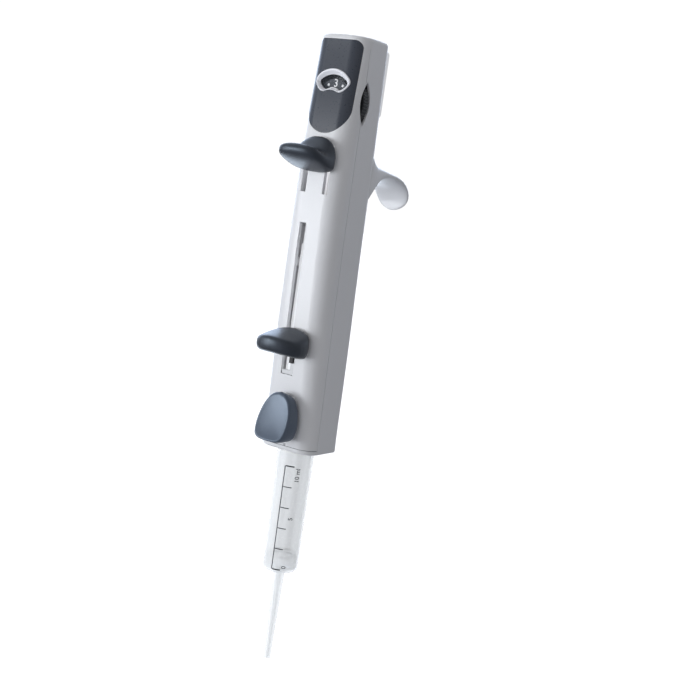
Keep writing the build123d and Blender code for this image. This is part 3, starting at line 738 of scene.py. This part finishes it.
def scale_bar(bm, arc0, arc1, z0, z1):
    """A bar of ink, cut into short faces that follow the barrel."""
    across = max(1, int((arc1 - arc0) / BAR_STEP_ACROSS))
    up = max(1, int((z1 - z0) / BAR_STEP_UP))
    points = [
        (arc0 + (arc1 - arc0) * i / across, z0 + (z1 - z0) * j / up)
        for j in range(up + 1)
        for i in range(across + 1)
    ]
    wide = across + 1
    faces = [
        (j * wide + i, j * wide + i + 1, (j + 1) * wide + i + 1, (j + 1) * wide + i)
        for j in range(up)
        for i in range(across)
    ]
    thick_shape(bm, points, faces, on_barrel, SCALE_INK)


def tip_scale():
    """The graduated line on the barrel, 0 at its foot and 10 at its top."""
    bm = bmesh.new()
    scale_bar(bm, -SCALE_LINE_HALF, SCALE_LINE_HALF, SCALE_FOOT, SCALE_TOP)
    for step in range(SCALE_STEPS + 1):
        z = SCALE_FOOT + (SCALE_TOP - SCALE_FOOT) * step / SCALE_STEPS
        half = END_TICK_HALF if step in (0, SCALE_STEPS) else TICK_HALF
        scale_bar(bm, TICK_FROM, TICK_TO, z - half, z + half)
    for text, arc, z in SCALE_TEXTS:
        points, faces = glyphs(text, SCALE_TEXT_HEIGHT, SCALE_TEXT_WEIGHT)
        turned = [(arc - y, z + x) for x, y in points]
        thick_shape(bm, turned, faces, on_barrel, SCALE_INK)
    add_piece("tip_scale", bm, PRINT_GREY, "tip", "gripper_black")


tip_scale()


# ---------------------------------------------------------------- floor, light, camera

FLOOR_Z = -0.150
FLOOR_RADIUS, FLOOR_SEGMENTS = 6.0, 96
FLOOR_COLOUR = (0.45, 0.45, 0.46)
FLOOR_MOTTLE, FLOOR_MOTTLE_SCALE = 0.02, 3.0
FLOOR_ROUGHNESS = 0.8
FLOOR_GLOW = 0.93
WORLD_BRIGHT_SIDE = (-0.65, 0.76, 0.0)
WORLD_DIM = (0.335, 0.333, 0.337)
WORLD_BRIGHT = (0.80, 0.87, 1.0)
WORLD_BACKDROP = (2.5, 2.95, 3.7)
WORLD_STOPS = (0.50, 0.86, 0.94)
WORLD_SEEN = 1.05


def choose(tree, rays, seen_by, usual, special):
    """A shader that is special for one kind of ray and usual for all others."""
    mix = tree.nodes.new("ShaderNodeMixShader")
    tree.links.new(rays.outputs[seen_by], mix.inputs["Fac"])
    tree.links.new(usual, mix.inputs[1])
    tree.links.new(special, mix.inputs[2])
    return mix.outputs[0]


def floor():
    """A plain pale floor, well below the tip, which the camera sees as white as the surround."""
    bm = bmesh.new()
    bmesh.ops.create_circle(bm, cap_ends=True, radius=FLOOR_RADIUS, segments=FLOOR_SEGMENTS)
    mesh = bpy.data.meshes.new("floor")
    bm.to_mesh(mesh)
    bm.free()
    piece = bpy.data.objects.new("floor", mesh)
    piece.location.z = FLOOR_Z
    scene.collection.objects.link(piece)
    mat, tree, shader, coords = new_material("floor_white")
    mottle = noise(tree, coords, FLOOR_MOTTLE_SCALE, MOTTLE_DETAIL)
    pale = two_tone(tree, mottle, FLOOR_COLOUR, FLOOR_MOTTLE)
    tree.links.new(pale, shader.inputs["Base Color"])
    shader.inputs["Roughness"].default_value = FLOOR_ROUGHNESS
    glow = tree.nodes.new("ShaderNodeEmission")
    glow.inputs["Strength"].default_value = FLOOR_GLOW
    seen = tree.nodes.new("ShaderNodeAddShader")
    tree.links.new(shader.outputs["BSDF"], seen.inputs[0])
    tree.links.new(glow.outputs["Emission"], seen.inputs[1])
    rays = tree.nodes.new("ShaderNodeLightPath")
    surface = choose(tree, rays, "Is Camera Ray", shader.outputs["BSDF"], seen.outputs[0])
    output = next(n for n in tree.nodes if n.type == "OUTPUT_MATERIAL")
    tree.links.new(surface, output.inputs["Surface"])
    mesh.materials.append(mat)


def world_light():
    """A surround seen as white, which lights the object more from the left and the back.

    Glossy rays also meet a brighter backdrop on that side.
    """
    world = bpy.data.worlds.new("surround")
    scene.world = world
    world.use_nodes = True
    tree = world.node_tree
    tree.nodes.clear()
    coords = tree.nodes.new("ShaderNodeTexCoord")
    along = tree.nodes.new("ShaderNodeVectorMath")
    along.operation = "DOT_PRODUCT"
    along.inputs[1].default_value = WORLD_BRIGHT_SIDE
    tree.links.new(coords.outputs["Generated"], along.inputs[0])
    # from -1 on the dim side and 1 on the bright side to the ramps' 0 and 1
    shifted = tree.nodes.new("ShaderNodeMath")
    shifted.operation = "MULTIPLY_ADD"
    shifted.inputs[1].default_value = 0.5
    shifted.inputs[2].default_value = 0.5
    tree.links.new(along.outputs["Value"], shifted.inputs[0])
    lights = []
    for backdrop in (WORLD_BRIGHT, WORLD_BACKDROP):
        ramp = tree.nodes.new("ShaderNodeValToRGB")
        ramp.color_ramp.elements.new(WORLD_STOPS[-1])
        tones = (WORLD_DIM, WORLD_BRIGHT, backdrop)
        for stop, position, tone in zip(ramp.color_ramp.elements, WORLD_STOPS, tones):
            stop.position = position
            stop.color = (*tone, 1)
        tree.links.new(shifted.outputs[0], ramp.inputs["Fac"])
        background = tree.nodes.new("ShaderNodeBackground")
        tree.links.new(ramp.outputs["Color"], background.inputs["Color"])
        lights.append(background.outputs[0])
    seen = tree.nodes.new("ShaderNodeBackground")
    seen.inputs["Color"].default_value = (1, 1, 1, 1)
    seen.inputs["Strength"].default_value = WORLD_SEEN
    rays = tree.nodes.new("ShaderNodeLightPath")
    light = choose(tree, rays, "Is Glossy Ray", *lights)
    surface = choose(tree, rays, "Is Camera Ray", light, seen.outputs[0])
    out = tree.nodes.new("ShaderNodeOutputWorld")
    tree.links.new(surface, out.inputs["Surface"])


def softbox(name, place, target, size, watts, colour=(1, 1, 1)):
    """A rectangular area light aimed at a point."""
    light = bpy.data.lights.new(name, "AREA")
    light.shape = "RECTANGLE"
    light.size, light.size_y = size
    light.energy = watts
    light.color = colour
    holder = bpy.data.objects.new(name, light)
    scene.collection.objects.link(holder)
    holder.location = place
    aim = (Vector(target) - Vector(place)).to_track_quat("-Z", "Y")
    holder.rotation_euler = aim.to_euler()
    return holder


def softboxes():
    """The lamps: a strong cool key on the left, two weak fills and a cool kicker behind."""
    softbox(
        "key", place=(-0.60, -0.76, -0.06), target=(0, 0, 0.05), size=(0.45, 0.63), watts=8.0,
        colour=(0.93, 0.96, 1.0),
    )
    softbox("top", place=(-0.45, -0.25, 0.9), target=(0, 0, 0.1), size=(0.6, 0.6), watts=0.7)
    front = softbox(
        "front", place=(0.15, -1.1, 0.25), target=(0, 0, 0.05), size=(0.5, 0.5), watts=1.0,
    )
    front.visible_glossy = False
    kicker = softbox(
        "kicker", place=(-0.24, 0.22, -0.11), target=(0, -0.025, 0.137), size=(0.26, 0.26),
        watts=0.75, colour=(0.78, 0.88, 1.0),
    )
    kicker.visible_camera = False
    kicker.visible_diffuse = False


CAMERA_AZIMUTH = math.radians(33.0)
CAMERA_ELEVATION, CAMERA_ROLL = 0.134, 0.144
CAMERA_PIVOT = Vector((0, 0, 0.1))
CAMERA_ACROSS, CAMERA_UP, CAMERA_DISTANCE = 0.018787, -0.049833, 0.599288
CAMERA_FOCAL_PX, IMAGE_PX = 1272.076, 700
CAMERA_SENSOR = 36.0
CAMERA_CLIP = (0.01, 50)


def camera():
    """The camera, a little above and right of the front, rolled so that the top leans right."""
    az, el = CAMERA_AZIMUTH, CAMERA_ELEVATION
    c, s = math.cos(CAMERA_ROLL), math.sin(CAMERA_ROLL)
    back = Vector((math.sin(az) * math.cos(el), -math.cos(az) * math.cos(el), math.sin(el)))
    right = Vector((math.cos(az), math.sin(az), 0))
    up = back.cross(right)
    target = CAMERA_PIVOT + right * CAMERA_ACROSS + up * CAMERA_UP
    data = bpy.data.cameras.new("camera")
    data.sensor_width = CAMERA_SENSOR
    data.lens = CAMERA_SENSOR * CAMERA_FOCAL_PX / IMAGE_PX
    data.clip_start, data.clip_end = CAMERA_CLIP
    holder = bpy.data.objects.new("camera", data)
    scene.collection.objects.link(holder)
    axes = Matrix((right * c + up * s, up * c - right * s, back)).transposed().to_4x4()
    axes.translation = target + back * CAMERA_DISTANCE
    holder.matrix_world = axes
    scene.camera = holder


floor()
world_light()
softboxes()
camera()
scene.view_settings.view_transform = "Standard"
scene.view_settings.look = "None"
